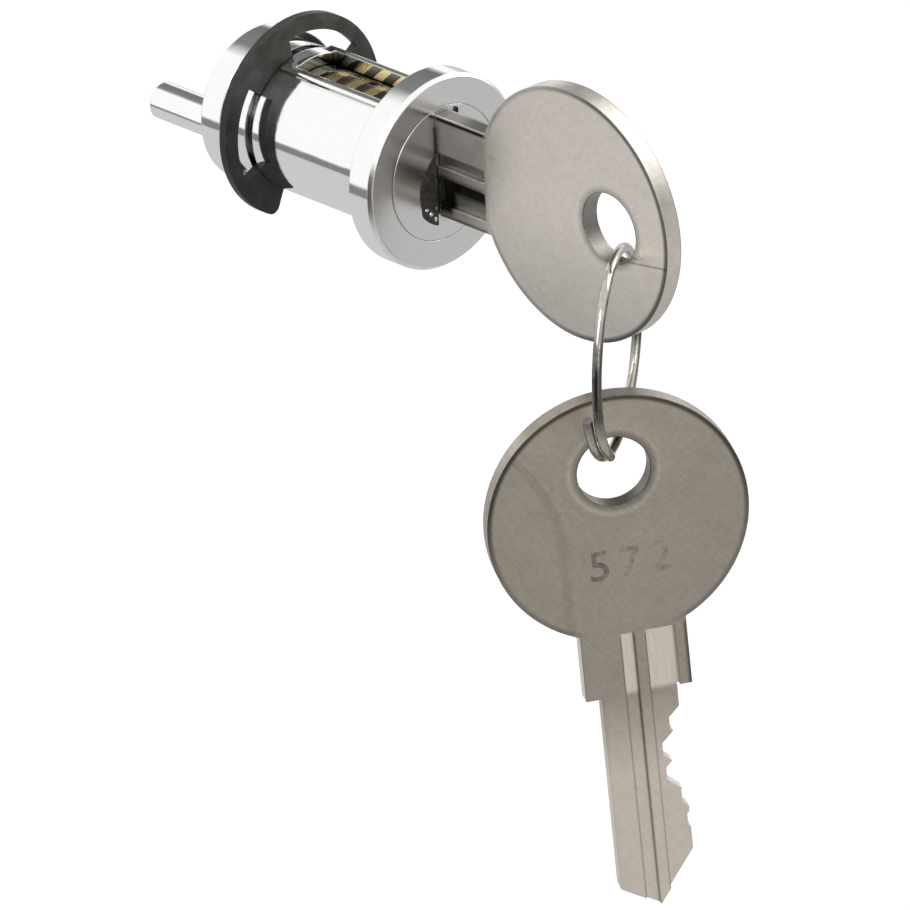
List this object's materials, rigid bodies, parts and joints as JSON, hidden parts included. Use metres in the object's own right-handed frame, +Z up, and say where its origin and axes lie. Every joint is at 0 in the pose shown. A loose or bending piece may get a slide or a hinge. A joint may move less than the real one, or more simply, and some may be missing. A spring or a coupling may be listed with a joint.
{
  "type": "enclosure key lock",
  "caption": "Round key lock for an electrical enclosure: flanged barrel with sprung wafers, a retaining ring, a quarter-turn plug with an eccentric drive pin, and flat keys on a wire ring.",
  "frame": {"origin": "on the lock's axis, at the back face of the flange, where the barrel enters the panel", "axes": "+Y runs along the lock's axis into the cabinet, towards the drive pin; +Z is up, the side of the rails and of the wafer slot; +X is to the right for the person who turns the key"},
  "size_m": [0.0228, 0.0717, 0.0843],
  "materials": {
    "chrome": "polished chrome plate",
    "clip_steel": "black phosphated spring steel",
    "key_metal": "nickel-plated, satin",
    "wafer_brass": "stamped brass",
    "spring_steel": "bright drawn wire"
  },
  "bodies": {
    "housing": {"housing_shell": "chrome", "retaining_ring": "clip_steel"},
    "plug": {"plug_core": "chrome", "drive_disc": "chrome", "drive_pin": "chrome", "wafer_spring_1": "spring_steel", "wafer_spring_2": "spring_steel", "wafer_spring_3": "spring_steel", "wafer_spring_4": "spring_steel", "wafer_spring_5": "spring_steel"},
    "wafer_1_body": {"wafer_1": "wafer_brass"},
    "wafer_2_body": {"wafer_2": "wafer_brass"},
    "wafer_3_body": {"wafer_3": "wafer_brass"},
    "wafer_4_body": {"wafer_4": "wafer_brass"},
    "wafer_5_body": {"wafer_5": "wafer_brass"},
    "key": {"inserted_key": "key_metal"},
    "ring": {"wire_ring": "spring_steel"},
    "spare": {"spare_key": "key_metal"}
  },
  "joints": [
    {"name": "plug_turn", "type": "hinge", "parent": "housing", "child": "plug", "pos_m": [0, 0, 0], "axis": [0, 1, 0], "range_deg": [0, 90]},
    {"name": "wafer_1_travel", "type": "slide", "parent": "plug", "child": "wafer_1_body", "axis": [0, 0, -1], "range_m": [-0.001, 0], "deforming": ["wafer_spring_1"]},
    {"name": "wafer_2_travel", "type": "slide", "parent": "plug", "child": "wafer_2_body", "axis": [0, 0, -1], "range_m": [-0.001, 0], "deforming": ["wafer_spring_2"]},
    {"name": "wafer_3_travel", "type": "slide", "parent": "plug", "child": "wafer_3_body", "axis": [0, 0, -1], "range_m": [-0.001, 0], "deforming": ["wafer_spring_3"]},
    {"name": "wafer_4_travel", "type": "slide", "parent": "plug", "child": "wafer_4_body", "axis": [0, 0, -1], "range_m": [-0.001, 0], "deforming": ["wafer_spring_4"]},
    {"name": "wafer_5_travel", "type": "slide", "parent": "plug", "child": "wafer_5_body", "axis": [0, 0, -1], "range_m": [-0.001, 0], "deforming": ["wafer_spring_5"]},
    {"name": "key_insertion", "type": "slide", "parent": "plug", "child": "key", "axis": [0, 1, 0], "range_m": [-0.025, 0]},
    {"name": "ring_swing", "type": "hinge", "parent": "key", "child": "ring", "pos_m": [0, -0.0268, 0.0014], "axis": [1, 0, 0], "range_deg": [-30, 30]},
    {"name": "spare_swing", "type": "hinge", "parent": "ring", "child": "spare", "pos_m": [-0.00063, -0.02618, -0.02112], "axis": [-0.8413, -0.5283, -0.1145], "range_deg": [-30, 30]}
  ]
}
